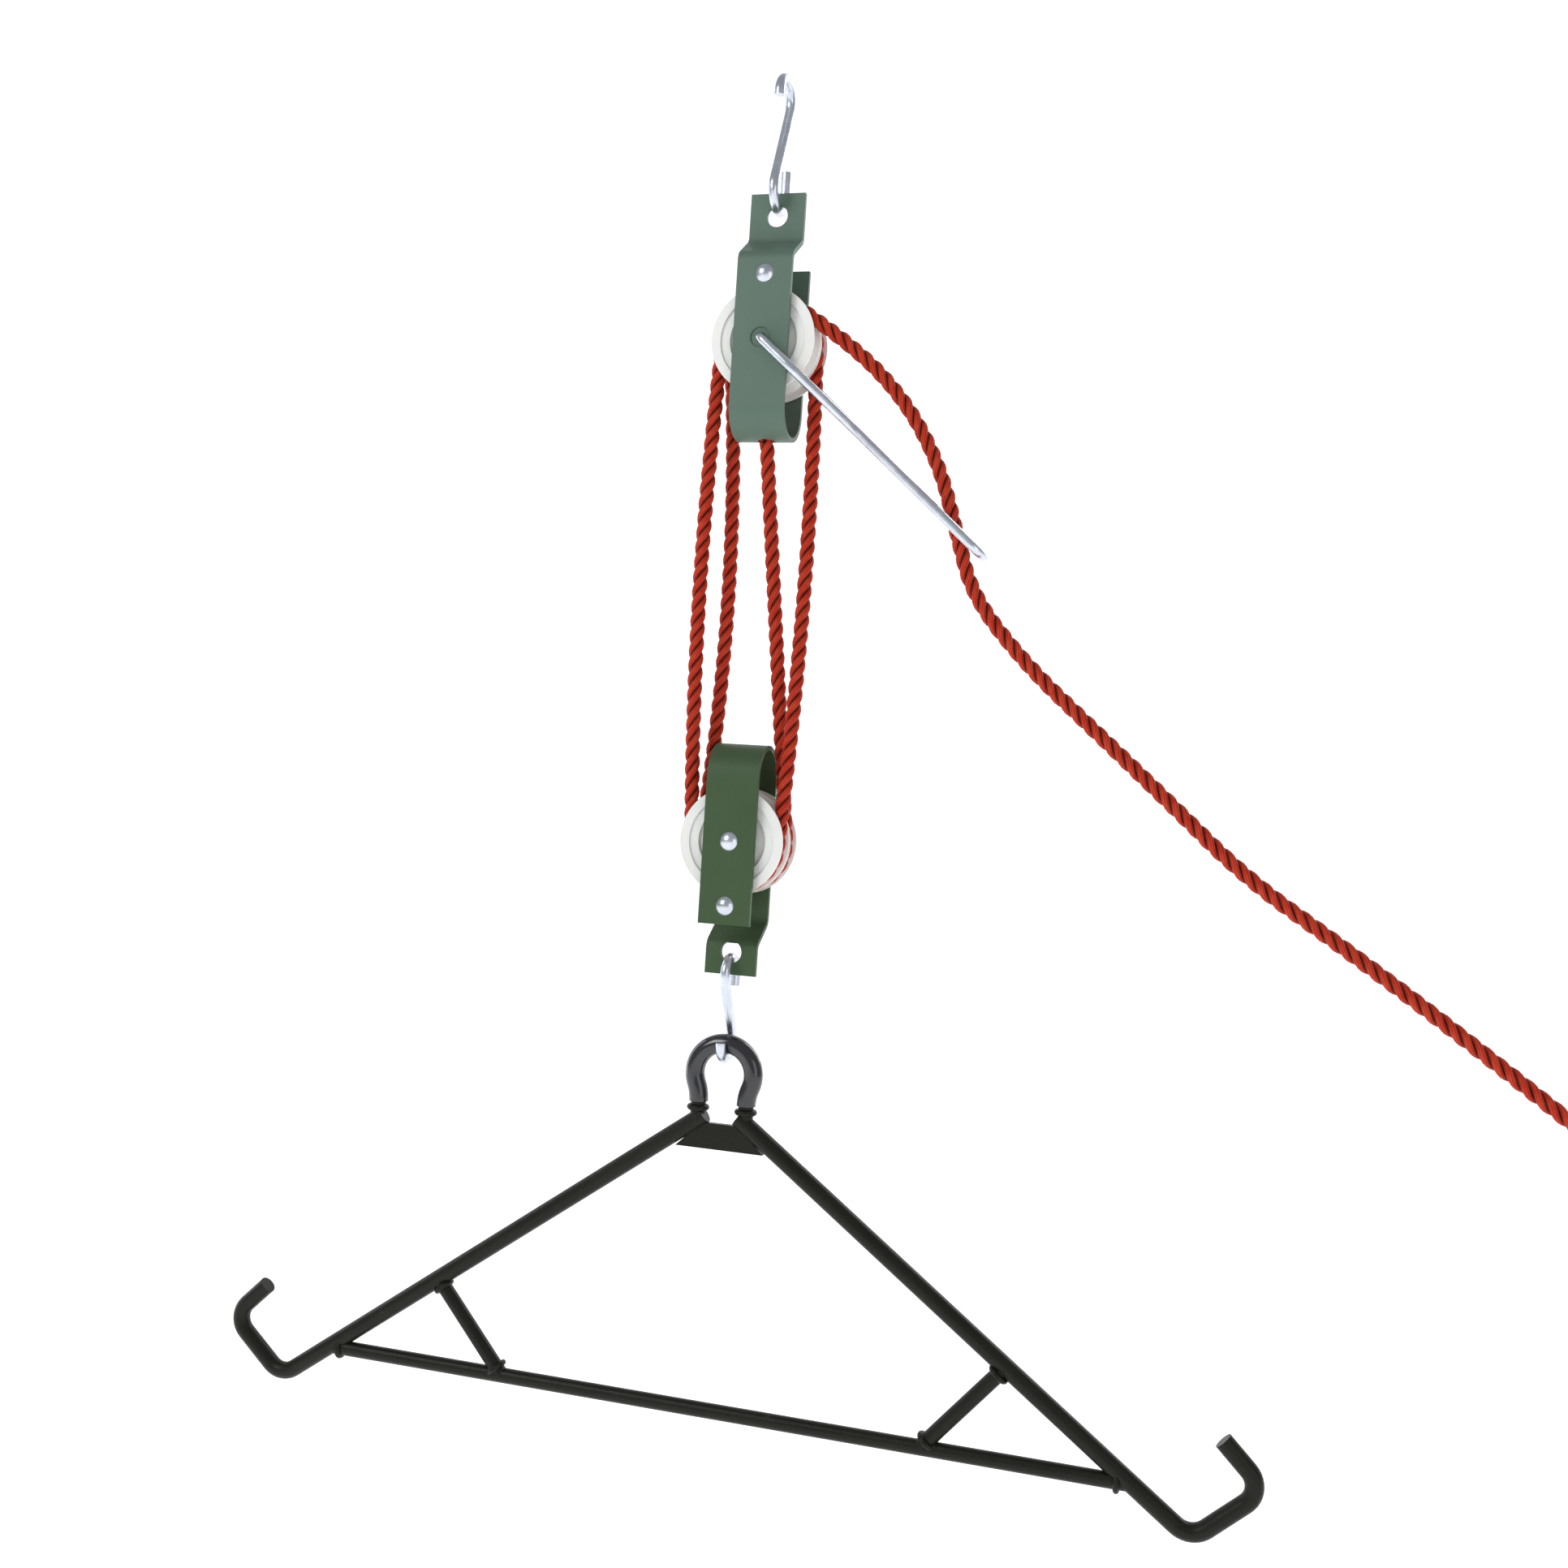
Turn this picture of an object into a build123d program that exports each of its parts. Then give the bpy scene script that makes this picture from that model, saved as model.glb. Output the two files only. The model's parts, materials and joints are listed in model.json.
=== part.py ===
from build123d import *
import math
import os

# A 4:1 rope hoist with a gambrel, hanging plumb. Millimetres, +Z up, +X along the gambrel, front at -Y.
# The origin is where the upper hook bears on whatever carries it: the inside top of its upper bend.

# Rope and reeving
ROPE_D = 9.5
ROPE_GAP = 0.35           # rope to sheave groove
FALL_GAP = 0.6            # between a fall's end and the rope that it runs on into
GROOVE_FLARE = 1.2        # how much wider a groove's half is at the rim
FALL_BOW = {"fall_1": 0.0, "fall_2": 8.5, "fall_3": 4.0, "fall_4": -5.0}  # slack, along +X
LEAVING_ANGLE = 58.0      # where the hauling line leaves its sheave, degrees above the horizontal

# Heights of the main features
UPPER_AXLE_Z = -162.0
LOWER_AXLE_Z = -470.0
EYE_SEAT_Z = -602.0       # underside of the eye's top, where the lower hook carries it

# S-hooks
HOOK_ROD_D = 6.35
UPPER_HOOK_R = 12.0       # centreline radii of the bends
LOWER_HOOK_R = 10.2
UPPER_HOOK_TIPS = (2.0, 16.0)   # straight ends after the top and the bottom bend
LOWER_HOOK_TIPS = (8.0, 0.5)
SEAT_GAP = 0.15

# Straps
STRAP_T = 3.0
UPPER_STRAP_W = 35.0
LOWER_STRAP_W = 33.0
STRAP_BEND_R = 6.0
CLOSED_END = 60.0         # axle to the outside of the closed end
TAB_HOLE_D = 13.5
UPPER_TAB_UP = 94.0       # axle to the end of the tab
UPPER_HOLE_UP = 80.0
UPPER_RIVET_UP = 39.5
LOWER_TAB_UP = 83.0
LOWER_HOLE_UP = 69.0
LOWER_RIVET_UP = 39.5
RIVET_TO_LEG_END = 11.5
JOG_H = 13.0
ROPE_HOLE_X = 2.0
ROPE_HOLE_GAP = 1.6

# Sheaves, washers and axles
SHEAVE_D = 66.0
SHEAVE_W = 14.5
HUB_D = 24.0
RIM_DEPTH = 11.5          # from the sheave's outside in to its web
RIM_STEP = 1.4            # how far the rim's inner ring lies inside its outer one
GROOVE_OVERRUN = 1.0      # how far the groove's cutter reaches past the rim
WEB_T = 7.0
RIM_FLUSH = 4.9           # rope centre to the rim's outside
AXLE_D = 12.7
BORE_GAP = 0.06
WASHER_D = 22.0
WASHER_T = 1.6
SIDE_GAP = 0.15
BAIL_GAP = 0.3            # bail rod to the hollow axle
AXLE_RECESS = 1.0         # how far the hollow axle's ends lie inside the strap's faces
RIVET_D = 6.35
RIVET_HEAD_D = 11.4
RIVET_HEAD_H = 2.6
RIVET_PIN_IN_HEAD = 0.1   # how far the pin runs into each head, so that they join
SPACER_D = 10.0
FIT_GAP = 0.05

# Bail
BAIL_ROD_D = 5.8
BAIL_SLOPE = 42.0         # degrees below the horizontal
BAIL_LEG_Y = 25.6
BAIL_CORNER_R = 6.0
BAIL_NECK_R = 25.0
BAIL_END_FLAT = 0.4       # left straight between the two bends of its closed end
BAIL_STRAIGHT = 30.0
BAIL_NECK = 80.0
BAIL_SLOT_Y = 9.3
BAIL_LENGTH = 191.0
BAIL_IN_AXLE = 7.0

# Gambrel, measured down and out from where the two arms' centrelines cross
APEX_Z = -633.0
ARM_D = 11.1
BAR_D = 9.5
ARM_BEND = (297.4, -216.3)
HOOK_CORNER = (336.7, -181.6)
HOOK_END = (312.0, -157.3)
ARM_BEND_R = 14.0
HOOK_CORNER_R = 13.0
CROSSBAR_SHARE = 0.882
BRACE_SHARE = 0.625
BRACE_FOOT_X = 137.5
ARM_START_X = 11.0
EYE_ROD_D = 9.5
SLEEVE_D = 12.1
EYE_R = 19.0
EYE_WRAP = 22.0           # degrees that the eye's bend runs on below its middle
EYE_NECK_R = 28.0
EYE_FOOT_Z = -9.0
SLEEVE_END_Z = 0.0
EYE_WELD_Z = -4.0
GUSSET_T = 4.0
GUSSET_TOP = (12.0, -13.0)
GUSSET_FOOT = (28.5, -29.0)
WELD_R = 1.9
WELD_STAND = 0.4          # a bead's middle line to the face of the bar that it rings
WELD_UP_BRACE = 0.6       # from the arm's face along the brace
WELD_DOWN_BRACE = 1.2     # from the crossbar's face along the brace
WELD_IN_BAR = 0.75        # from the arm's centreline along the crossbar, in arm diameters

# Knots
KNOT_R = 9.2
END_KNOT_R = 11.0
KNOT_SEAT = 1.1           # the round knot to the rim of its hole, on the curved end

# Worked out from the values above
ROPE_R = ROPE_D / 2
SHEAVE_R = SHEAVE_D / 2
PITCH_R = SHEAVE_R - RIM_FLUSH
GROOVE_R = ROPE_R + ROPE_GAP
INNER_DEPTH = 2 * SHEAVE_W + 3 * WASHER_T + 6 * SIDE_GAP
LEG_Y = (INNER_DEPTH + STRAP_T) / 2
SHEAVE_Y = (SHEAVE_W + WASHER_T) / 2 + SIDE_GAP
HOOK_SEAT = (TAB_HOLE_D - HOOK_ROD_D) / 2 - SEAT_GAP
OUTER_DEPTH = INNER_DEPTH + 2 * STRAP_T

# The hauling line's route by hand: straight off the sheave, through the bail, and away to the side
HAUL_START = (PITCH_R * math.cos(math.radians(LEAVING_ANGLE)), -SHEAVE_Y,
              UPPER_AXLE_Z + PITCH_R * math.sin(math.radians(LEAVING_ANGLE)))
HAUL_ROUTE = [
    (50, -6.0, -160), (87, -1.6, -194), (112, -0.2, -235), (125, 0, -276), (137, 0.4, -314),
    (172, 1.0, -354), (215, 0, -391), (260, -1.5, -430), (306, -1, -471), (360, 1, -505),
    (426, 2, -549), (488, 0, -593),
]


def along_y(x, z, diameter, length, y=0.0):
    """A cylinder along Y, centred on (x, y, z)."""
    return Pos(x, y, z) * Rot(90, 0, 0) * Cylinder(diameter / 2, length)


def rod(path, diameter):
    """A round rod that follows a wire."""
    start = Plane(origin=path @ 0, z_dir=path % 0)
    return sweep(start * Circle(diameter / 2), path=path)


def hollow_rod(path, diameter, bore):
    """A tube that follows a wire."""
    start = Plane(origin=path @ 0, z_dir=path % 0)
    return sweep(start * (Circle(diameter / 2) - Circle(bore / 2)), path=path)


def straight_rod(start, end, diameter):
    return rod(Wire([Edge.make_line(start, end)]), diameter)


def slack_fall(start, end, bow):
    """A stretch of rope that stops short of both points, its middle bowed along X."""
    inset = (end - start).normalized() * FALL_GAP
    start, end = start + inset, end - inset
    if not bow:
        return straight_rod(start, end, ROPE_D)
    middle = (start + end) / 2 + Vector(bow, 0, 0)
    return rod(Wire([Edge.make_three_point_arc(start, middle, end)]), ROPE_D)


def route_radii(points, share=0.45):
    """One fillet radius for each inner point, as large as its two runs allow."""
    vectors = [Vector(*p) for p in points]
    radii = []
    for before, here, after in zip(vectors, vectors[1:], vectors[2:]):
        run_in, run_out = here - before, after - here
        half_turn = math.radians(run_in.get_angle(run_out)) / 2
        radii.append(share * min(run_in.length, run_out.length) / math.tan(half_turn))
    return radii


def strap(width, tab_up, hole_up, rivet_up, axle_hole_d):
    """A flat bar bent into a block's frame: axle at the origin, tab up, jogging leg at the front."""
    leg_end = rivet_up + RIVET_TO_LEG_END
    jog_top = leg_end + JOG_H
    bend_z = LEG_Y + STRAP_T / 2 - CLOSED_END
    with BuildSketch(Plane.YZ) as profile:
        with BuildLine():
            FilletPolyline((0, tab_up), (0, jog_top), (-LEG_Y, leg_end), (-LEG_Y, bend_z),
                           radius=[STRAP_BEND_R, STRAP_BEND_R])
            ThreePointArc((-LEG_Y, bend_z), (0, bend_z - LEG_Y), (LEG_Y, bend_z))
            Line((LEG_Y, bend_z), (LEG_Y, leg_end))
        trace(line_width=STRAP_T)
    bar = extrude(profile.sketch, amount=width / 2, both=True)
    bar -= along_y(0, hole_up, TAB_HOLE_D, 2 * STRAP_T)
    bar -= along_y(0, 0, axle_hole_d, 2 * OUTER_DEPTH)
    bar -= along_y(0, rivet_up, RIVET_D + 2 * FIT_GAP, 2 * OUTER_DEPTH)
    return bar


def s_hook(top_z, bottom_z, radius, tips, flip=1):
    """An S-hook in the YZ plane. top_z and bottom_z are the rod's centre in its two bends.

    The shank crosses from one side of the top bend to the other side of the bottom bend; flip=1
    puts it behind at the top.
    """
    top_tip, bottom_tip = tips
    top_centre, bottom_centre = top_z - radius, bottom_z + radius
    lean = math.asin(2 * radius / (top_centre - bottom_centre))
    side, rise = radius * math.cos(lean), radius * math.sin(lean)
    with BuildLine(Plane.YZ) as line:
        Line((-flip * radius, top_centre - top_tip), (-flip * radius, top_centre))
        ThreePointArc((-flip * radius, top_centre), (0, top_z), (flip * side, top_centre - rise))
        Line((flip * side, top_centre - rise), (-flip * side, bottom_centre + rise))
        ThreePointArc((-flip * side, bottom_centre + rise), (0, bottom_z), (flip * radius, bottom_centre))
        Line((flip * radius, bottom_centre), (flip * radius, bottom_centre + bottom_tip))
    return rod(line.wire(), HOOK_ROD_D)


def sheave():
    """A grooved wheel with a stepped rim, a thin web and a hub, its axis along Y at the origin."""
    half, web = SHEAVE_W / 2, WEB_T / 2
    hub, rim_inner = HUB_D / 2, SHEAVE_R - RIM_DEPTH
    bore = AXLE_D / 2 + BORE_GAP
    step = (SHEAVE_R + rim_inner) / 2
    mouth = SHEAVE_R + GROOVE_OVERRUN
    with BuildSketch(Plane.XY) as section:
        with BuildLine():
            Polyline(
                (bore, -half), (hub, -half), (hub, -web), (rim_inner, -web), (rim_inner, RIM_STEP - half),
                (step, RIM_STEP - half), (step, -half), (SHEAVE_R, -half), (SHEAVE_R, half), (step, half),
                (step, half - RIM_STEP), (rim_inner, half - RIM_STEP), (rim_inner, web), (hub, web),
                (hub, half), (bore, half), close=True)
        make_face()
        with Locations((PITCH_R, 0)):
            Circle(GROOVE_R, mode=Mode.SUBTRACT)
        with BuildLine():
            Polyline((PITCH_R, -GROOVE_R), (mouth, -GROOVE_R - GROOVE_FLARE),
                     (mouth, GROOVE_R + GROOVE_FLARE), (PITCH_R, GROOVE_R), close=True)
        make_face(mode=Mode.SUBTRACT)
    return revolve(section.sketch, axis=Axis.Y)


def wrap(axle_z, y, first_angle, last_angle):
    """The rope that lies in a sheave's groove, between two angles above +X."""
    disc = Pos(PITCH_R, 0, 0) * Circle(ROPE_R)
    turned = revolve(disc, axis=Axis.Y, revolution_arc=last_angle - first_angle)
    return Pos(0, y, axle_z) * Rot(0, -last_angle, 0) * turned


def washers(axle_z):
    """Three washers: in front of, between and behind the two sheaves."""
    ring = along_y(0, 0, WASHER_D, WASHER_T) - along_y(0, 0, AXLE_D + 4 * FIT_GAP, 2 * WASHER_T)
    outer_y = (INNER_DEPTH - WASHER_T) / 2
    return Compound(children=[Pos(0, y, axle_z) * ring for y in (-outer_y, 0, outer_y)])


def rivet(z):
    """A rivet through both legs of a strap, with a domed head on each side."""
    pin = along_y(0, z, RIVET_D, OUTER_DEPTH + 2 * RIVET_PIN_IN_HEAD)
    dome_r = (RIVET_HEAD_D ** 2 / 4 + RIVET_HEAD_H ** 2) / (2 * RIVET_HEAD_H)
    for side in (-1, 1):
        face_y = side * OUTER_DEPTH / 2
        ball = Pos(0, face_y + side * (RIVET_HEAD_H - dome_r), z) * Sphere(dome_r)
        pin += ball & along_y(0, z, RIVET_HEAD_D, RIVET_HEAD_H, face_y + side * RIVET_HEAD_H / 2)
    return pin


def tube_on_rivet(z, outer_d):
    """A tube round a rivet, as long as the strap is deep inside."""
    return along_y(0, z, outer_d, INNER_DEPTH) - along_y(0, z, RIVET_D + 2 * FIT_GAP, 2 * INNER_DEPTH)


def upper_axle():
    """An open tube through the strap, its ends a little inside the legs' outer faces."""
    tube = along_y(0, UPPER_AXLE_Z, AXLE_D, OUTER_DEPTH - 2 * AXLE_RECESS)
    return tube - along_y(0, UPPER_AXLE_Z, BAIL_ROD_D + 2 * BAIL_GAP, 2 * OUTER_DEPTH)


def bail():
    """A rod bent into a long narrow loop, its two ends turned into the hollow axle."""
    end_y = OUTER_DEPTH / 2 - BAIL_IN_AXLE
    half = [(0, end_y), (0, BAIL_LEG_Y), (BAIL_STRAIGHT, BAIL_LEG_Y), (BAIL_NECK, BAIL_SLOT_Y),
            (BAIL_LENGTH, BAIL_SLOT_Y)]
    points = [(s, -y) for s, y in half] + [(s, y) for s, y in reversed(half)]
    bends = [BAIL_CORNER_R, BAIL_NECK_R, BAIL_NECK_R, BAIL_SLOT_Y - BAIL_END_FLAT / 2]
    with BuildLine(Plane.XY) as line:
        FilletPolyline(*points, radius=bends + bends[::-1])
    return Pos(0, 0, UPPER_AXLE_Z) * Rot(0, BAIL_SLOPE, 0) * rod(line.wire(), BAIL_ROD_D)


def arm_point(share):
    """A point on the right arm's centreline, as a share of the way from the apex to the end bend."""
    return Vector(share * ARM_BEND[0], 0, APEX_Z + share * ARM_BEND[1])


def right_arm():
    start = ARM_START_X / ARM_BEND[0]
    corners = [(arm_point(start).X, arm_point(start).Z)]
    corners += [(x, APEX_Z + z) for x, z in (ARM_BEND, HOOK_CORNER, HOOK_END)]
    with BuildLine(Plane.XZ) as line:
        FilletPolyline(*corners, radius=[ARM_BEND_R, HOOK_CORNER_R])
    return rod(line.wire(), ARM_D)


def eye_path(foot_z):
    """The eye's centreline from its left foot over the top to its right foot."""
    wrap_angle = math.radians(EYE_WRAP)
    centre_z = EYE_SEAT_Z + SLEEVE_D / 2 - EYE_R
    side, drop = EYE_R * math.cos(wrap_angle), EYE_R * math.sin(wrap_angle)
    foot_x = side - EYE_NECK_R * (1 - math.cos(wrap_angle))
    neck_z = centre_z - drop - EYE_NECK_R * math.sin(wrap_angle)
    half_angle = wrap_angle / 2
    mid_x = foot_x + EYE_NECK_R * (1 - math.cos(half_angle))
    mid_z = neck_z + EYE_NECK_R * math.sin(half_angle)
    foot = APEX_Z + foot_z
    with BuildLine(Plane.XZ) as line:
        Line((-foot_x, foot), (-foot_x, neck_z))
        ThreePointArc((-foot_x, neck_z), (-mid_x, mid_z), (-side, centre_z - drop))
        ThreePointArc((-side, centre_z - drop), (0, centre_z + EYE_R), (side, centre_z - drop))
        ThreePointArc((side, centre_z - drop), (mid_x, mid_z), (foot_x, neck_z))
        Line((foot_x, neck_z), (foot_x, foot))
    return line.wire()


def weld_ring(at, direction, bar_d, cutters):
    """A bead round a bar's end, cut to sit on the rods that meet there."""
    ring = Plane(origin=at, z_dir=direction) * Torus(bar_d / 2 + WELD_STAND, WELD_R)
    for cutter in cutters:
        ring -= cutter
    return ring


parts = {}


# Upper hook and block
upper_hook_top = HOOK_ROD_D / 2
upper_hook_bottom = UPPER_AXLE_Z + UPPER_HOLE_UP + HOOK_SEAT
parts["upper_s_hook"] = s_hook(upper_hook_top, upper_hook_bottom, UPPER_HOOK_R, UPPER_HOOK_TIPS)

frame = strap(UPPER_STRAP_W, UPPER_TAB_UP, UPPER_HOLE_UP, UPPER_RIVET_UP, AXLE_D + 2 * FIT_GAP)
frame -= Pos(ROPE_HOLE_X, 0, -CLOSED_END) * Cylinder(ROPE_R + ROPE_HOLE_GAP / 2, 4 * STRAP_T)
parts["upper_strap"] = Pos(0, 0, UPPER_AXLE_Z) * frame
parts["upper_axle"] = upper_axle()
parts["upper_washers"] = washers(UPPER_AXLE_Z)
parts["upper_spacer_rivet"] = rivet(UPPER_AXLE_Z + UPPER_RIVET_UP)
parts["upper_spacer_tube"] = tube_on_rivet(UPPER_AXLE_Z + UPPER_RIVET_UP, SPACER_D)
parts["upper_front_sheave"] = Pos(0, -SHEAVE_Y, UPPER_AXLE_Z) * sheave()
parts["upper_rear_sheave"] = Pos(0, SHEAVE_Y, UPPER_AXLE_Z) * sheave()
parts["bail"] = bail()

# Lower block, the same frame turned over, and its hook
frame = strap(LOWER_STRAP_W, LOWER_TAB_UP, LOWER_HOLE_UP, LOWER_RIVET_UP, RIVET_D + 2 * FIT_GAP)
parts["lower_strap"] = Pos(0, 0, LOWER_AXLE_Z) * Rot(180, 0, 0) * frame
parts["lower_axle_rivet"] = rivet(LOWER_AXLE_Z)
parts["lower_axle_tube"] = tube_on_rivet(LOWER_AXLE_Z, AXLE_D)
parts["lower_washers"] = washers(LOWER_AXLE_Z)
parts["lower_spacer_rivet"] = rivet(LOWER_AXLE_Z - LOWER_RIVET_UP)
parts["lower_spacer_tube"] = tube_on_rivet(LOWER_AXLE_Z - LOWER_RIVET_UP, SPACER_D)
parts["lower_front_sheave"] = Pos(0, -SHEAVE_Y, LOWER_AXLE_Z) * sheave()
parts["lower_rear_sheave"] = Pos(0, SHEAVE_Y, LOWER_AXLE_Z) * sheave()
lower_hook_top = LOWER_AXLE_Z - LOWER_HOLE_UP - HOOK_SEAT
lower_hook_bottom = EYE_SEAT_Z - HOOK_ROD_D / 2 - SEAT_GAP
parts["lower_s_hook"] = s_hook(lower_hook_top, lower_hook_bottom, LOWER_HOOK_R, LOWER_HOOK_TIPS, flip=-1)

# Rope on the sheaves, the four falls between the blocks, and the dead end's knot
hole_z = UPPER_AXLE_Z - CLOSED_END
fall_distance = math.hypot(ROPE_HOLE_X, hole_z - LOWER_AXLE_Z)
fall_angle = math.asin(PITCH_R / fall_distance) - math.atan2(ROPE_HOLE_X, hole_z - LOWER_AXLE_Z)
fall_degrees = math.degrees(fall_angle)
parts["upper_rear_wrap"] = wrap(UPPER_AXLE_Z, SHEAVE_Y, 0, 180)
parts["upper_front_wrap"] = wrap(UPPER_AXLE_Z, -SHEAVE_Y, LEAVING_ANGLE, 180)
parts["lower_rear_wrap"] = wrap(LOWER_AXLE_Z, SHEAVE_Y, 180, 360 + fall_degrees)
parts["lower_front_wrap"] = wrap(LOWER_AXLE_Z, -SHEAVE_Y, 180, 360)
fall_ends = {
    "fall_1": ((ROPE_HOLE_X, 0, hole_z),
               (PITCH_R * math.cos(fall_angle), SHEAVE_Y, LOWER_AXLE_Z + PITCH_R * math.sin(fall_angle))),
    "fall_2": ((-PITCH_R, SHEAVE_Y, UPPER_AXLE_Z), (-PITCH_R, SHEAVE_Y, LOWER_AXLE_Z)),
    "fall_3": ((PITCH_R, SHEAVE_Y, UPPER_AXLE_Z), (PITCH_R, -SHEAVE_Y, LOWER_AXLE_Z)),
    "fall_4": ((-PITCH_R, -SHEAVE_Y, UPPER_AXLE_Z), (-PITCH_R, -SHEAVE_Y, LOWER_AXLE_Z)),
}
for name, (top, bottom) in fall_ends.items():
    parts[name] = slack_fall(Vector(*top), Vector(*bottom), FALL_BOW[name])

hole_dip = KNOT_R - math.sqrt(KNOT_R ** 2 - (ROPE_R + ROPE_HOLE_GAP / 2) ** 2)
knot_z = hole_z + STRAP_T + KNOT_R - hole_dip + KNOT_SEAT
stub_z = hole_z + FALL_GAP
knot = Pos(ROPE_HOLE_X, 0, knot_z) * Sphere(KNOT_R)
knot += Pos(ROPE_HOLE_X, 0, (knot_z + stub_z) / 2) * Cylinder(ROPE_R, knot_z - stub_z)
parts["dead_end_knot"] = knot

# Hauling line and the knot on its free end
haul_points = [HAUL_START] + HAUL_ROUTE
radii = route_radii(haul_points)
haul_path = FilletPolyline(*[Vector(*p) for p in haul_points], radius=radii).wire()
parts["hauling_line"] = rod(haul_path, ROPE_D)
print("hauling line radii", [round(r) for r in radii])
print("hauling line length", round(haul_path.length, 1), "volume over section x length",
      round(parts["hauling_line"].volume / (math.pi * ROPE_R ** 2 * haul_path.length), 4))
end_direction = haul_path % 1
knot_centre = haul_path @ 1 + end_direction * math.sqrt(END_KNOT_R ** 2 - ROPE_R ** 2)
end_cut = Plane(origin=haul_path @ 1 - end_direction * END_KNOT_R, z_dir=end_direction)
end_ball = Pos(*knot_centre) * Sphere(END_KNOT_R)
parts["end_knot"] = end_ball - end_cut * Pos(0, 0, END_KNOT_R / 2) * Cylinder(ROPE_R + 1, END_KNOT_R)

# Gambrel
arm_right = right_arm()
arm_left = mirror(arm_right, about=Plane.YZ)
eye = rod(eye_path(EYE_FOOT_Z), EYE_ROD_D)
sleeve = hollow_rod(eye_path(SLEEVE_END_Z), SLEEVE_D, EYE_ROD_D)
parts["eye_rod"] = eye - arm_right - arm_left
parts["eye_sleeve"] = sleeve
parts["left_arm"] = arm_left
parts["right_arm"] = arm_right

bar_end = arm_point(CROSSBAR_SHARE)
bar = straight_rod(Vector(-bar_end.X, 0, bar_end.Z), bar_end, BAR_D)
parts["crossbar"] = bar - arm_right - arm_left
welds = []
for side, name in ((-1, "left_brace"), (1, "right_brace")):
    joint = arm_point(BRACE_SHARE)
    top, foot = Vector(side * joint.X, 0, joint.Z), Vector(side * BRACE_FOOT_X, 0, bar_end.Z)
    arm = arm_right if side > 0 else arm_left
    brace = straight_rod(top, foot, BAR_D)
    parts[name] = brace - arm - bar
    down = (foot - top).normalized()
    solids = [arm, bar, brace]
    welds.append(weld_ring(top + down * (ARM_D / 2 + WELD_UP_BRACE), down, BAR_D, solids))
    welds.append(weld_ring(foot - down * (BAR_D / 2 + WELD_DOWN_BRACE), down, BAR_D, solids))
    outward = Vector(side, 0, 0)
    bar_weld = Vector(side * bar_end.X, 0, bar_end.Z) - outward * (ARM_D * WELD_IN_BAR)
    welds.append(weld_ring(bar_weld, outward, BAR_D, solids))

for side in (-1, 1):
    foot = eye_path(EYE_FOOT_Z) @ (0 if side < 0 else 1)
    at = Vector(foot.X, 0, APEX_Z + EYE_WELD_Z)
    welds.append(weld_ring(at, Vector(0, 0, 1), EYE_ROD_D, [eye, arm_right, arm_left]))

plate_points = [(-GUSSET_TOP[0], GUSSET_TOP[1]), (GUSSET_TOP[0], GUSSET_TOP[1]), GUSSET_FOOT,
                (-GUSSET_FOOT[0], GUSSET_FOOT[1])]
with BuildSketch(Plane.XZ) as plate_face:
    with BuildLine():
        Polyline(*[(x, APEX_Z + z) for x, z in plate_points], close=True)
    make_face()
plate = extrude(plate_face.sketch, amount=GUSSET_T / 2, both=True)
parts["gusset_plate"] = plate - arm_right - arm_left
parts["weld_beads"] = Compound(children=[s for bead in welds for s in bead.solids()])

os.makedirs("parts", exist_ok=True)
for name, shape in parts.items():
    export_step(shape, f"parts/{name}.step")
print(len(parts), "nodes")
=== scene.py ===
# %% [markdown]
# # A rope hoist with a gambrel
# The metal and nylon pieces come from the CAD model as they are, and only need their finishes.
# Rope is different: real rope is three strands laid round each other, so its plain CAD rods are
# replaced here by strands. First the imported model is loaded, and its size is kept for later.

# %% Load the fixed frame
import json
import math

import bmesh
import bpy
import numpy as np
from mathutils import Matrix, Vector


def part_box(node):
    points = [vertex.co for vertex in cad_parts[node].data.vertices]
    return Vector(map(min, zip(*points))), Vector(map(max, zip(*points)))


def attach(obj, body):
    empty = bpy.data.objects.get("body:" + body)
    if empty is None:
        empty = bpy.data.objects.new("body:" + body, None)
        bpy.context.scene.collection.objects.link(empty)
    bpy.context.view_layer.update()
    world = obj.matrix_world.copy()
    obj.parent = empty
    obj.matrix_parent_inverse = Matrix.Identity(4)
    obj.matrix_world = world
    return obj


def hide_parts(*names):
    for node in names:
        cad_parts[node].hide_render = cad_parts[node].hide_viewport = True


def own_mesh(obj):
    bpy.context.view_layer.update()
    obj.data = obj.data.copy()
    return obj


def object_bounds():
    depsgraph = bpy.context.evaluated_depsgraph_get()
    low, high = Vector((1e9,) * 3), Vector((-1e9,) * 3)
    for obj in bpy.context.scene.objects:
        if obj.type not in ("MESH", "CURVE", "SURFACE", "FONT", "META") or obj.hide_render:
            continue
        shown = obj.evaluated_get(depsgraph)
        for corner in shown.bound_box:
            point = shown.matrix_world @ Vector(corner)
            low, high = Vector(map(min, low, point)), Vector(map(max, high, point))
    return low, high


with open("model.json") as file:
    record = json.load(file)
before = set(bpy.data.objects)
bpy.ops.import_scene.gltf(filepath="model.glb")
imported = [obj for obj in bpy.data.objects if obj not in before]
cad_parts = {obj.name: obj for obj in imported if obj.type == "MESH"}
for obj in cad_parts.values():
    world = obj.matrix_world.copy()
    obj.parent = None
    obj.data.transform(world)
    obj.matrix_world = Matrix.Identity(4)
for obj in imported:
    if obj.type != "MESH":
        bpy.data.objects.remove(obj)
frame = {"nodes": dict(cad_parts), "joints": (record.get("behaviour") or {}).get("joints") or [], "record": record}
cad_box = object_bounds()
nodes = frame["nodes"]
MM = 0.001
bpy.ops.object.select_all(action="DESELECT")
print("loaded", len(nodes), "nodes")

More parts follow.
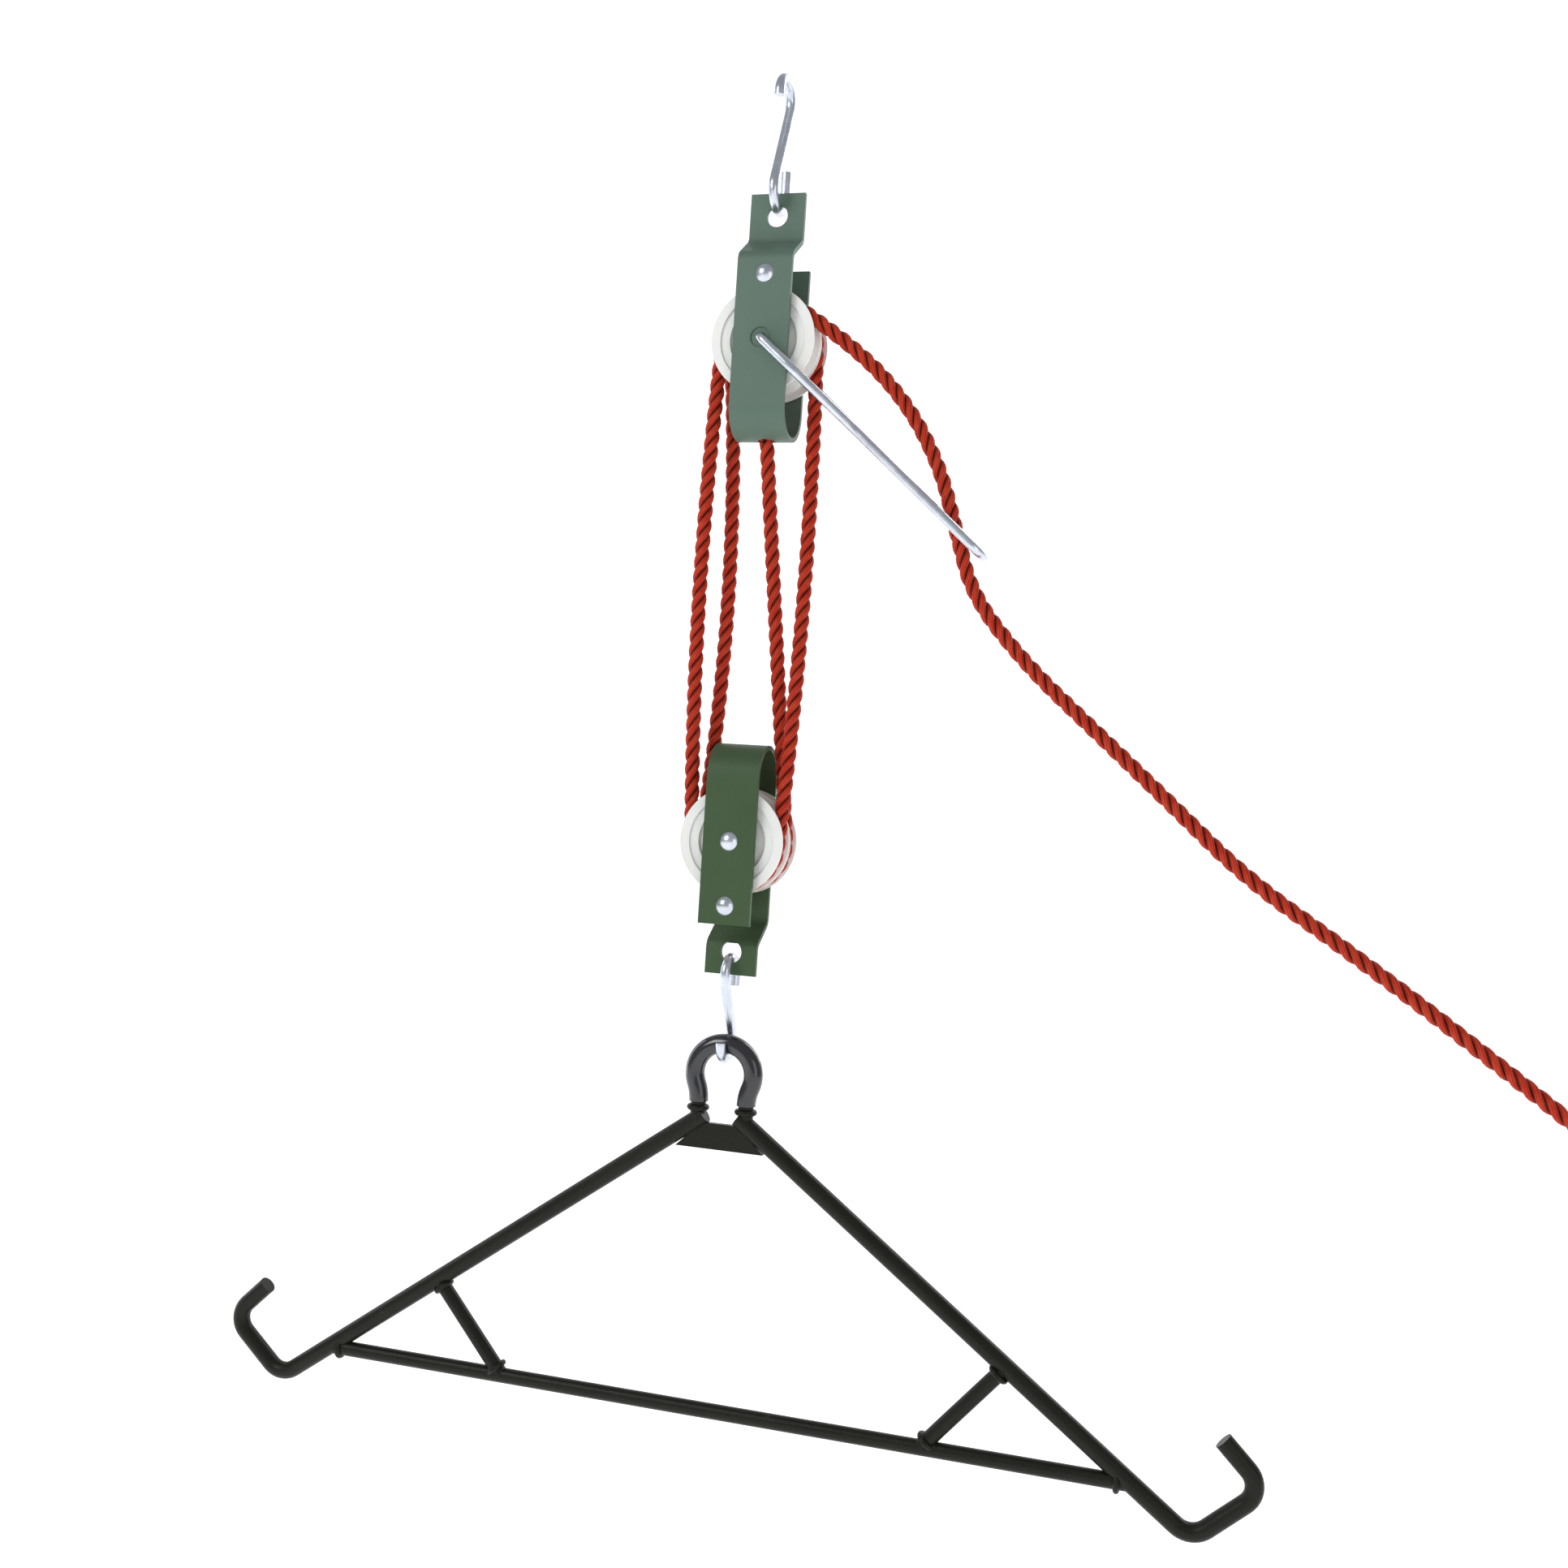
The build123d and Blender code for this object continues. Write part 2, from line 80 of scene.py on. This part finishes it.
# %% [markdown]
# ## Camera
# The hoist hangs, so the camera looks level at it from a little to its right. A small roll is part
# of the view. The camera's matrix is built from its right, up and backward directions, which is
# simpler to read than three angles.

# %% Camera
CAMERA_PLACE = Vector((0.335, -1.030, -0.433))
CAMERA_YAW = math.radians(16.65)
CAMERA_ROLL = math.radians(3.6)
CAMERA_LENS = 40.06


def add_camera():
    forward = Vector((-math.sin(CAMERA_YAW), math.cos(CAMERA_YAW), 0))
    level_right = Vector((math.cos(CAMERA_YAW), math.sin(CAMERA_YAW), 0))
    rise = Vector((0, 0, 1))
    right = level_right * math.cos(CAMERA_ROLL) + rise * math.sin(CAMERA_ROLL)
    up = rise * math.cos(CAMERA_ROLL) - level_right * math.sin(CAMERA_ROLL)
    bpy.ops.object.camera_add()
    camera = bpy.context.object
    turn = Matrix((right, up, -forward)).transposed().to_4x4()
    camera.matrix_world = Matrix.Translation(CAMERA_PLACE) @ turn
    camera.data.lens = CAMERA_LENS
    camera.data.sensor_width = 36
    bpy.context.scene.camera = camera
    return camera


camera = add_camera()
print("camera at", tuple(round(v, 3) for v in camera.location))

# %% [markdown]
# ## Studio
# Polished zinc shows whatever stands round it, so the room matters as much as the lights: a pale
# floor that curves up into a pale wall, a large soft key light, a fill, and a strip on each side
# that draws long highlights down round rods.

# %% Floor and lights
FLOOR_DROP = 0.12
FLOOR_HALF = 4.0
WALL_AWAY = 2.2
WALL_HEIGHT = 5
CORNER_RADIUS = 0.8
CORNER_STEPS = 10
PALE = (0.93, 0.93, 0.94, 1)
WORLD_STRENGTH = 0.40
PAPER_GLOW = 0.50


def add_backdrop():
    """A floor strip, extruded up its back edge in steps that round the corner."""
    floor_z = cad_box[0].z - FLOOR_DROP
    bpy.ops.mesh.primitive_plane_add(size=2 * FLOOR_HALF, location=(0, WALL_AWAY - FLOOR_HALF, floor_z))
    sweep = bpy.context.object
    sweep.name = "backdrop"
    bpy.ops.object.mode_set(mode="EDIT")
    bpy.ops.mesh.select_mode(type="EDGE")
    bpy.ops.mesh.select_all(action="DESELECT")
    mesh = bmesh.from_edit_mesh(sweep.data)
    for edge in mesh.edges:
        edge.select = all(v.co.y > FLOOR_HALF - 0.01 for v in edge.verts)
    bmesh.update_edit_mesh(sweep.data)
    length = CORNER_RADIUS * math.pi / 2 / CORNER_STEPS
    for step in range(CORNER_STEPS):
        angle = (step + 0.5) / CORNER_STEPS * math.pi / 2
        move = (0, length * math.cos(angle), length * math.sin(angle))
        bpy.ops.mesh.extrude_edges_move(TRANSFORM_OT_translate={"value": move})
    bpy.ops.mesh.extrude_edges_move(TRANSFORM_OT_translate={"value": (0, 0, WALL_HEIGHT)})
    bpy.ops.object.mode_set(mode="OBJECT")
    bpy.ops.object.shade_smooth()
    bpy.ops.object.select_all(action="DESELECT")
    return sweep


def add_area_light(name, place, target, size, power, tint=(1, 1, 1)):
    bpy.ops.object.light_add(type="AREA", location=place)
    lamp = bpy.context.object
    lamp.name = name
    lamp.data.energy = power
    lamp.data.color = tint
    lamp.data.shape = "RECTANGLE"
    lamp.data.size, lamp.data.size_y = size
    lamp.rotation_euler = (Vector(target) - Vector(place)).to_track_quat("-Z", "Y").to_euler()
    return lamp


backdrop = add_backdrop()
middle = (cad_box[0] + cad_box[1]) / 2
add_area_light("key", (-1.1, -1.7, 0.6), middle, (1.0, 1.0), 15)
add_area_light("fill", (1.9, -1.5, -0.2), middle, (1.2, 1.2), 5)
add_area_light("rim", (0.9, 1.3, 0.5), middle, (0.4, 1.6), 7)
add_area_light("strip", (-1.6, 0.3, -0.3), middle, (0.3, 1.8), 6, (0.90, 0.95, 1))
world = bpy.data.worlds.new("pale_room")
bpy.context.scene.world = world
world.use_nodes = True
world.node_tree.nodes["Background"].inputs["Color"].default_value = (0.94, 0.97, 1, 1)
world.node_tree.nodes["Background"].inputs["Strength"].default_value = WORLD_STRENGTH
bpy.context.scene.view_settings.view_transform = "Standard"

# %% [markdown]
# ## Shader maths as plain expressions
# Node trees for materials get long when every sum is a Math node placed by hand. A small class
# wraps a socket, so `1 - mask * 0.3` writes the nodes for us. Everything else goes through `node`.

# %% Socket class and material helper


class Sock:
    """A shader socket that takes part in sums."""

    def __init__(self, tree, socket):
        self.tree, self.socket = tree, socket

    def _math(self, operation, *values):
        made = self.tree.nodes.new("ShaderNodeMath")
        made.operation = operation
        for place, value in zip(made.inputs, values):
            if isinstance(value, Sock):
                self.tree.links.new(value.socket, place)
            else:
                place.default_value = value
        return Sock(self.tree, made.outputs[0])

    def __add__(self, other):
        return self._math("ADD", self, other)

    __radd__ = __add__

    def __mul__(self, other):
        return self._math("MULTIPLY", self, other)

    __rmul__ = __mul__

    def __sub__(self, other):
        return self._math("SUBTRACT", self, other)

    def __rsub__(self, other):
        return self._math("SUBTRACT", other, self)

    def sine(self):
        return self._math("SINE", self)

    def clamp(self):
        held = self._math("MAXIMUM", self, 0.0)
        return held._math("MINIMUM", held, 1.0)


class Finish:
    """A material under construction: its tree, its shader and its object coordinates."""

    def __init__(self, name, **numbers):
        self.material = bpy.data.materials.new(name)
        self.material.use_nodes = True
        self.tree = self.material.node_tree
        self.shader = self.tree.nodes["Principled BSDF"]
        for socket, value in numbers.items():
            self.shader.inputs[socket.replace("_", " ")].default_value = value
        self.place = self.node("ShaderNodeTexCoord", "Object")

    def node(self, kind, output, settings=None, **links):
        made = self.tree.nodes.new(kind)
        for key, value in (settings or {}).items():
            setattr(made, key, value)
        for key, value in links.items():
            self.put(made.inputs[key.replace("_", " ")], value)
        return Sock(self.tree, made.outputs[output])

    def put(self, place, value):
        if isinstance(value, Sock):
            self.tree.links.new(value.socket, place)
        else:
            place.default_value = value

    def noise(self, scale, detail=3.0, rough=0.55):
        return self.node("ShaderNodeTexNoise", "Fac", Vector=self.place, Scale=scale,
                         Detail=detail, Roughness=rough)

    def mix(self, share, first, second):
        made = self.tree.nodes.new("ShaderNodeMix")
        made.data_type = "RGBA"
        for index, value in ((0, share), (6, first), (7, second)):
            self.put(made.inputs[index], value)
        return Sock(self.tree, made.outputs[2])

    def drive(self, **links):
        for key, value in links.items():
            self.put(self.shader.inputs[key.replace("_", " ")], value)

    def bump(self, height, strength, distance):
        made = self.node("ShaderNodeBump", "Normal", Height=height, Strength=strength, Distance=distance)
        self.drive(Normal=made)


def grey(value):
    return (value, value, value, 1)


# %% [markdown]
# ## Zinc plate
# Bright zinc is a metal with a faint blue cast. Handling leaves duller patches, and bending leaves
# fine marks, so colour and roughness follow a coarse noise, and a fine one scratches the surface.

# %% Zinc


def zinc():
    finish = Finish("zinc", Metallic=1.0)
    patches = finish.noise(110, 4)
    fine = finish.noise(1400, 2)
    finish.drive(Base_Color=finish.mix(patches, (0.50, 0.54, 0.62, 1), (0.83, 0.86, 0.92, 1)),
                 Roughness=(patches * 0.22 + fine * 0.08 + 0.12).clamp())
    finish.bump(fine * 0.4 + patches * 0.6, 0.12, 0.0004)
    return finish.material


# %% [markdown]
# ## Powder coat and paint
# Powder coat flows out into an orange-peel skin. Its colour is even, with a slight cloudiness where
# dust settles, so one function makes the two straps' greens and the gambrel's brown.

# %% Coatings


def coating(name, dark, light, roughness, peel_scale, peel):
    finish = Finish(name, Specular_IOR_Level=0.20)
    cloud = finish.noise(22, 5, 0.6)
    specks = finish.noise(2600, 2)
    skin = finish.noise(peel_scale, 2)
    worn = (finish.noise(75, 6, 0.7) * 5.0 - 3.3).clamp()
    colour = finish.mix(cloud, dark, light)
    colour = finish.mix(worn * 0.16, colour, grey(0.30))
    colour = finish.mix((specks * 4.0 - 2.5).clamp() * 0.22, colour, grey(0.33))
    finish.drive(Base_Color=colour, Roughness=(cloud * 0.14 + worn * 0.10 + roughness).clamp())
    finish.bump(skin + specks * 0.25, peel, 0.0005)
    return finish.material


# %% [markdown]
# ## Nylon and vinyl
# Moulded nylon is ivory, a little soft in its shadows, with a fine mould texture. Dipped vinyl is
# the opposite: black, thick and glossy, with slow waves where it ran before it set.

# %% Plastics


def nylon():
    finish = Finish("nylon", Subsurface_Weight=0.08, Subsurface_Scale=0.004)
    cloud = finish.noise(40, 4)
    fine = finish.noise(1900, 2)
    finish.drive(Base_Color=finish.mix(cloud, (0.80, 0.80, 0.75, 1), (0.93, 0.93, 0.91, 1)),
                 Roughness=cloud * 0.16 + 0.30)
    finish.bump(fine, 0.08, 0.0003)
    return finish.material


def vinyl():
    finish = Finish("vinyl", Coat_Weight=0.7, Coat_Roughness=0.05)
    waves = finish.noise(55, 2)
    finish.drive(Base_Color=finish.mix(waves, (0.006, 0.006, 0.009, 1), (0.016, 0.016, 0.022, 1)),
                 Roughness=waves * 0.12 + 0.10)
    finish.bump(waves, 0.25, 0.0008)
    return finish.material


# %% [markdown]
# ## Rope yarn
# A strand is itself a bundle of yarns, twisted against the strand's own turn. The strand's mesh
# carries a map: U goes round it and V along it, in turns and in centimetres. Slanted sine bands on
# that map are the yarns. An attribute says how deep a point lies between the strands, where little
# light gets in, and the colour is darkened there as painted shade.

# %% Rope finish
YARNS = 9.0
YARN_SLANT = 1.6


def rope_finish():
    finish = Finish("rope", Specular_IOR_Level=0.15, Sheen_Weight=0.05)
    uv = finish.node("ShaderNodeUVMap", "UV", {"uv_map": "strand"})
    across = finish.node("ShaderNodeSeparateXYZ", "X", Vector=uv)
    along = finish.node("ShaderNodeSeparateXYZ", "Y", Vector=uv)
    bands = ((across * YARNS + along * YARN_SLANT) * (2 * math.pi)).sine() * 0.5 + 0.5
    strand_gap_shade = finish.node("ShaderNodeAttribute", "Fac", {"attribute_name": "strand_gap_shade"})
    cloud = finish.noise(160, 4)
    yarn = finish.mix(bands, (0.33, 0.010, 0.002, 1), (0.64, 0.038, 0.010, 1))
    # Painted highlights: pale patches from a noise lighten the yarn colour.
    painted_highlights = finish.mix((cloud * 2.0 - 0.7).clamp() * 0.25, yarn, (0.92, 0.17, 0.07, 1))
    # Painted shade: where the strands meet, the colour is darkened towards near black.
    finish.drive(Base_Color=finish.mix(strand_gap_shade, painted_highlights, (0.040, 0.002, 0.001, 1)),
                 Roughness=cloud * 0.25 + 0.42)
    finish.bump(bands + cloud * 0.3, 0.55, 0.0004)
    return finish.material


def backdrop_finish():
    finish = Finish("pale_paper", Roughness=0.9, Emission_Strength=PAPER_GLOW)
    cloud = finish.noise(1.5, 2)
    finish.drive(Base_Color=finish.mix(cloud, PALE, grey(0.96)))
    return finish.material


# %% Give every carried-over piece its finish
finishes = {
    "zinc": zinc(),
    "upper_paint": coating(
        "upper_paint", (0.100, 0.158, 0.122, 1), (0.135, 0.200, 0.157, 1), 0.36, 900, 0.22),
    "lower_paint": coating(
        "lower_paint", (0.048, 0.086, 0.038, 1), (0.068, 0.118, 0.056, 1), 0.36, 900, 0.22),
    "nylon": nylon(),
    "vinyl": vinyl(),
    "rope": rope_finish(),
    "frame_paint": coating(
        "frame_paint", (0.006, 0.006, 0.003, 1), (0.013, 0.013, 0.008, 1), 0.28, 700, 0.35),
}
SLOT_OF = {row["node"]: row["material_slot"] for row in frame["record"]["subparts"]}
for name, piece in nodes.items():
    piece.data.materials.clear()
    piece.data.materials.append(finishes[SLOT_OF[name]])
backdrop.data.materials.append(backdrop_finish())
print("finished", len(nodes), "nodes in", len(finishes), "materials")

# %% [markdown]
# ## The rope's centreline
# One rope runs through the whole hoist: from its knot in the upper block, round each sheave in turn,
# and away through the bail. Its strands have to meet wherever one piece ends and the next begins,
# so the centreline is worked out once, from end to end, and then cut into its pieces.

# %% Centreline from the frame


def box_middle(name):
    low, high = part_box(name)
    return (low + high) / 2


def box_size(name):
    low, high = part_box(name)
    return high - low


# A wrap lies flat in its groove, so its box is one rope deep and two pitch radii and a rope wide.
ROPE_D = box_size("lower_front_wrap").y
STEP = 1.6 * MM
upper_front, upper_rear = box_middle("upper_front_sheave"), box_middle("upper_rear_sheave")
lower_front, lower_rear = box_middle("lower_front_sheave"), box_middle("lower_rear_sheave")
pitch_radius = (box_size("lower_front_wrap").x - ROPE_D) / 2
hole = Vector((box_middle("dead_end_knot").x, 0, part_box("upper_strap")[0].z))
print("rope", round(ROPE_D / MM, 2), "mm, pitch radius", round(pitch_radius / MM, 2), "mm")

FALL_BOW_MM = {"fall_1": 0.0, "fall_2": 8.5, "fall_3": 4.0, "fall_4": -5.0}


def straight(start, end):
    count = max(2, round((end - start).length / STEP))
    return [start.lerp(end, i / count) for i in range(count + 1)]


def slack(start, end, bow_mm):
    """A stretch that hangs a little loose: a shallow arc, its middle moved along X."""
    line = straight(start, end)
    if not bow_mm:
        return line
    bow, half = abs(bow_mm) * MM, (end - start).length / 2
    radius = (half * half + bow * bow) / (2 * bow)
    way = Vector((math.copysign(1, bow_mm), 0, 0))
    bowed = []
    for index, point in enumerate(line):
        from_middle = (2 * index / (len(line) - 1) - 1) * half
        bowed.append(point + way * (math.sqrt(radius ** 2 - from_middle ** 2) - (radius - bow)))
    return bowed


def arc(centre, first, last):
    """Points round a sheave, between two angles in degrees above +X."""
    first, last = math.radians(first), math.radians(last)
    count = max(4, round(abs(last - first) * pitch_radius / STEP))
    angles = [first + (last - first) * i / count for i in range(count + 1)]
    return [centre + pitch_radius * Vector((math.cos(a), 0, math.sin(a))) for a in angles]


def round_point(centre, degrees):
    return arc(centre, degrees, degrees + 1)[0]


to_hole = hole - lower_rear
fall_degrees = math.degrees(math.asin(pitch_radius / math.hypot(to_hole.x, to_hole.z))
                            - math.atan2(to_hole.x, to_hole.z))
LEAVING_DEGREES = 58.0
CURVE_STEPS = 40

# %% [markdown]
# The hauling line is the free end. Its route is given as a list of points and smoothed by a NURBS curve of
# order 3, which passes near its points and has no sharp corner. Blender turns a curve with no bevel into a
# mesh of edges, and those points are the centreline for the strands.

# %% Hauling line
leave = round_point(upper_front, LEAVING_DEGREES)
HAUL_ROUTE_MM = [
    (50, -6.0, -160), (87, -1.6, -194), (112, -0.2, -235), (125, 0, -276), (137, 0.4, -314),
    (172, 1.0, -354), (215, 0, -391), (260, -1.5, -430), (306, -1, -471), (360, 1, -505),
    (426, 2, -549), (488, 0, -593),
]


def smooth_line(points, name):
    """Points read from a NURBS curve that has these control points."""
    data = bpy.data.curves.new(name, "CURVE")
    data.dimensions = "3D"
    spline = data.splines.new("NURBS")
    spline.points.add(len(points) - 1)
    for place, point in zip(spline.points, points):
        place.co = (*point, 1)
    spline.order_u = 3
    spline.use_endpoint_u = True
    data.resolution_u = CURVE_STEPS
    holder = bpy.data.objects.new(name, data)
    bpy.context.scene.collection.objects.link(holder)
    bpy.context.view_layer.update()
    mesh = bpy.data.meshes.new_from_object(holder)
    line = [v.co.copy() for v in mesh.vertices]
    bpy.data.objects.remove(holder)
    bpy.data.meshes.remove(mesh)
    return line


def line_length(points):
    return sum((b - a).length for a, b in zip(points, points[1:]))


def even(points):
    """The same line with points one step apart."""
    marks = [0.0]
    for a, b in zip(points, points[1:]):
        marks.append(marks[-1] + (b - a).length)
    count = round(marks[-1] / STEP)
    wanted = np.linspace(0, marks[-1], count + 1)
    axes = [np.interp(wanted, marks, [p[k] for p in points]) for k in range(3)]
    return [Vector(p) for p in zip(*axes)]


haul_points = [leave] + [Vector(p) * MM for p in HAUL_ROUTE_MM]
haul_line = even(smooth_line(haul_points, "haul_route"))
haul_length = line_length(haul_line)
print("hauling line", round(haul_length, 4), "m")

# %% The pieces in the order that the rope runs
rope_pieces = [
    ("fall_1", slack(hole, round_point(lower_rear, fall_degrees), FALL_BOW_MM["fall_1"])),
    ("lower_rear_wrap", arc(lower_rear, fall_degrees, -180)),
    ("fall_2", slack(round_point(lower_rear, 180), round_point(upper_rear, 180), FALL_BOW_MM["fall_2"])),
    ("upper_rear_wrap", arc(upper_rear, 180, 0)),
    ("fall_3", slack(round_point(upper_rear, 0), round_point(lower_front, 0), FALL_BOW_MM["fall_3"])),
    ("lower_front_wrap", arc(lower_front, 0, -180)),
    ("fall_4", slack(round_point(lower_front, 180), round_point(upper_front, 180), FALL_BOW_MM["fall_4"])),
    ("upper_front_wrap", arc(upper_front, 180, LEAVING_DEGREES)),
    ("hauling_line", haul_line),
]
print("whole rope", round(sum(line_length(line) for _, line in rope_pieces), 3), "m")

# %% [markdown]
# ## Laid strands
# Three equal circles that touch each other fill a round rope when each has 0.464 of its radius.
# Every strand circles the centreline once in each lay, about three rope diameters. To stop the
# strands from twisting at bends, one direction is carried along the whole rope, turned only as much
# as the rope itself turns.

# %% Strand builder
STRANDS = 3
STRAND_SIDES = 12
STRAND_SHARE = 0.464
strand_radius = ROPE_D / 2 * STRAND_SHARE
strand_orbit = ROPE_D / 2 - strand_radius
LAY = 2.9 * ROPE_D


def directions(line):
    """The direction of the line at each of its points."""
    ahead = [(b - a).normalized() for a, b in zip(line, line[1:])]
    middle_ones = [(a + b).normalized() for a, b in zip(ahead, ahead[1:])]
    return [ahead[0]] + middle_ones + [ahead[-1]]


def strand_mesh(name, line, side, travelled, scale=1.0):
    """One mesh of three laid strands. Returns it with the side direction and travel at its end."""
    mesh = bmesh.new()
    uv_layer = mesh.loops.layers.uv.new("strand")
    strand_gap_shade_layer = mesh.verts.layers.float.new("strand_gap_shade")
    rings = [[] for _ in range(STRANDS)]
    heading, marks = directions(line), []
    for index, (point, ahead) in enumerate(zip(line, heading)):
        if index:
            travelled += (point - line[index - 1]).length
            side = heading[index - 1].rotation_difference(ahead) @ side
        side = (side - ahead * side.dot(ahead)).normalized()
        other = ahead.cross(side)
        marks.append(travelled)
        for strand in range(STRANDS):
            turn = 2 * math.pi * (travelled / LAY + strand / STRANDS)
            out = side * math.cos(turn) + other * math.sin(turn)
            round_it = -side * math.sin(turn) + other * math.cos(turn)
            tilt = 2 * math.pi * strand_orbit / LAY
            run = (ahead + round_it * tilt).normalized()
            flank = run.cross(out)
            centre = point + out * strand_orbit * scale
            ring = []
            for corner in range(STRAND_SIDES):
                angle = 2 * math.pi * corner / STRAND_SIDES
                vert = mesh.verts.new(
                    centre + (out * math.cos(angle) + flank * math.sin(angle)) * strand_radius * scale)
                # Painted shade: 0 on each strand's outer side, rising to 1 on the side that faces the rope's
                # middle.
                vert[strand_gap_shade_layer] = max(0.0, min(1.0, 0.60 - 0.85 * math.cos(angle)))
                ring.append(vert)
            rings[strand].append(ring)
    for strand in range(STRANDS):
        for step, (near, far) in enumerate(zip(rings[strand], rings[strand][1:])):
            for corner in range(STRAND_SIDES):
                after = (corner + 1) % STRAND_SIDES
                face = mesh.faces.new((near[corner], near[after], far[after], far[corner]))
                face.smooth = True
                places = ((corner, step), (corner + 1, step), (corner + 1, step + 1), (corner, step + 1))
                for loop, (u, v) in zip(face.loops, places):
                    loop[uv_layer].uv = (u / STRAND_SIDES, marks[v] * 100)
        mesh.faces.new(rings[strand][0][::-1])
        mesh.faces.new(rings[strand][-1])
    bmesh.ops.recalc_face_normals(mesh, faces=mesh.faces)
    data = bpy.data.meshes.new(name)
    mesh.to_mesh(data)
    mesh.free()
    piece = bpy.data.objects.new(name, data)
    bpy.context.scene.collection.objects.link(piece)
    data.materials.append(finishes["rope"])
    return piece, side, travelled


# %% [markdown]
# Each laid piece stands for its CAD rod. The four falls get shorter when the lower block rises; here
# each fall gets a mesh of its own and rides on the upper block, at full length. The wraps
# ride on their own block, and the hauling line on the upper one.

# %% Lay the rope
lift = next(j for j in frame["joints"] if j["name"] == "hoist_lift")["range_m"][1]
side, travelled = Vector((0, 1, 0)), 0.0
for name, line in rope_pieces:
    piece, side, travelled = strand_mesh(f"laid_{name}", line, side, travelled)
    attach(piece, "lower_block" if name.startswith("lower") else "upper_block")
    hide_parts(name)
    if name.startswith("fall"):
        heights = [p.z for p in line]
        tall = max(heights) - min(heights)
        (tall - lift) / tall
        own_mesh(piece)

# %% [markdown]
# ## Knots
# Both ends of the rope are stopped by an overhand knot pulled tight. Its line is a trefoil, drawn
# with three sines, and the same strand builder covers it. Its rope is drawn a little thin, because
# rope in a tight knot is squeezed.

# %% Knots
KNOT_SQUEEZE = 0.78
KNOT_STEPS = 90
TREFOIL_REACH = 3.0


def knot_line(centre, axis, radius):
    """A closed trefoil round an axis, inside a ball."""
    turn = Vector((0, 0, 1)).rotation_difference(axis).to_matrix()
    points = []
    for i in range(KNOT_STEPS + 1):
        t = 2 * math.pi * i / KNOT_STEPS
        flat = Vector((math.sin(t) + 2 * math.sin(2 * t), math.cos(t) - 2 * math.cos(2 * t),
                       -1.3 * math.sin(3 * t)))
        points.append(centre + turn @ (flat * radius / TREFOIL_REACH))
    return points


def tie_knot(name, node, axis, tail=None):
    low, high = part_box(node)
    ball = min(high.x - low.x, high.y - low.y) / 2
    centre = Vector(((low.x + high.x) / 2, (low.y + high.y) / 2, high.z - ball))
    reach = ball - (strand_radius + strand_orbit) * KNOT_SQUEEZE
    line = knot_line(centre, axis, reach)
    piece, _, _ = strand_mesh(name, line, Vector((0, 1, 0)), 0.0, KNOT_SQUEEZE)
    if tail:
        end, _, _ = strand_mesh(name + "_tail", straight(centre, tail), Vector((0, 1, 0)), 0.0)
        bpy.ops.object.select_all(action="DESELECT")
        end.select_set(True)
        piece.select_set(True)
        bpy.context.view_layer.objects.active = piece
        bpy.ops.object.join()
        bpy.ops.object.select_all(action="DESELECT")
    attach(piece, "upper_block")
    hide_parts(node)
    return piece


dead_knot = tie_knot("dead_end_rope_knot", "dead_end_knot", Vector((0, 0, 1)), hole)
haul_end = (haul_line[-1] - haul_line[-2]).normalized()
free_knot = tie_knot("free_end_rope_knot", "end_knot", haul_end)
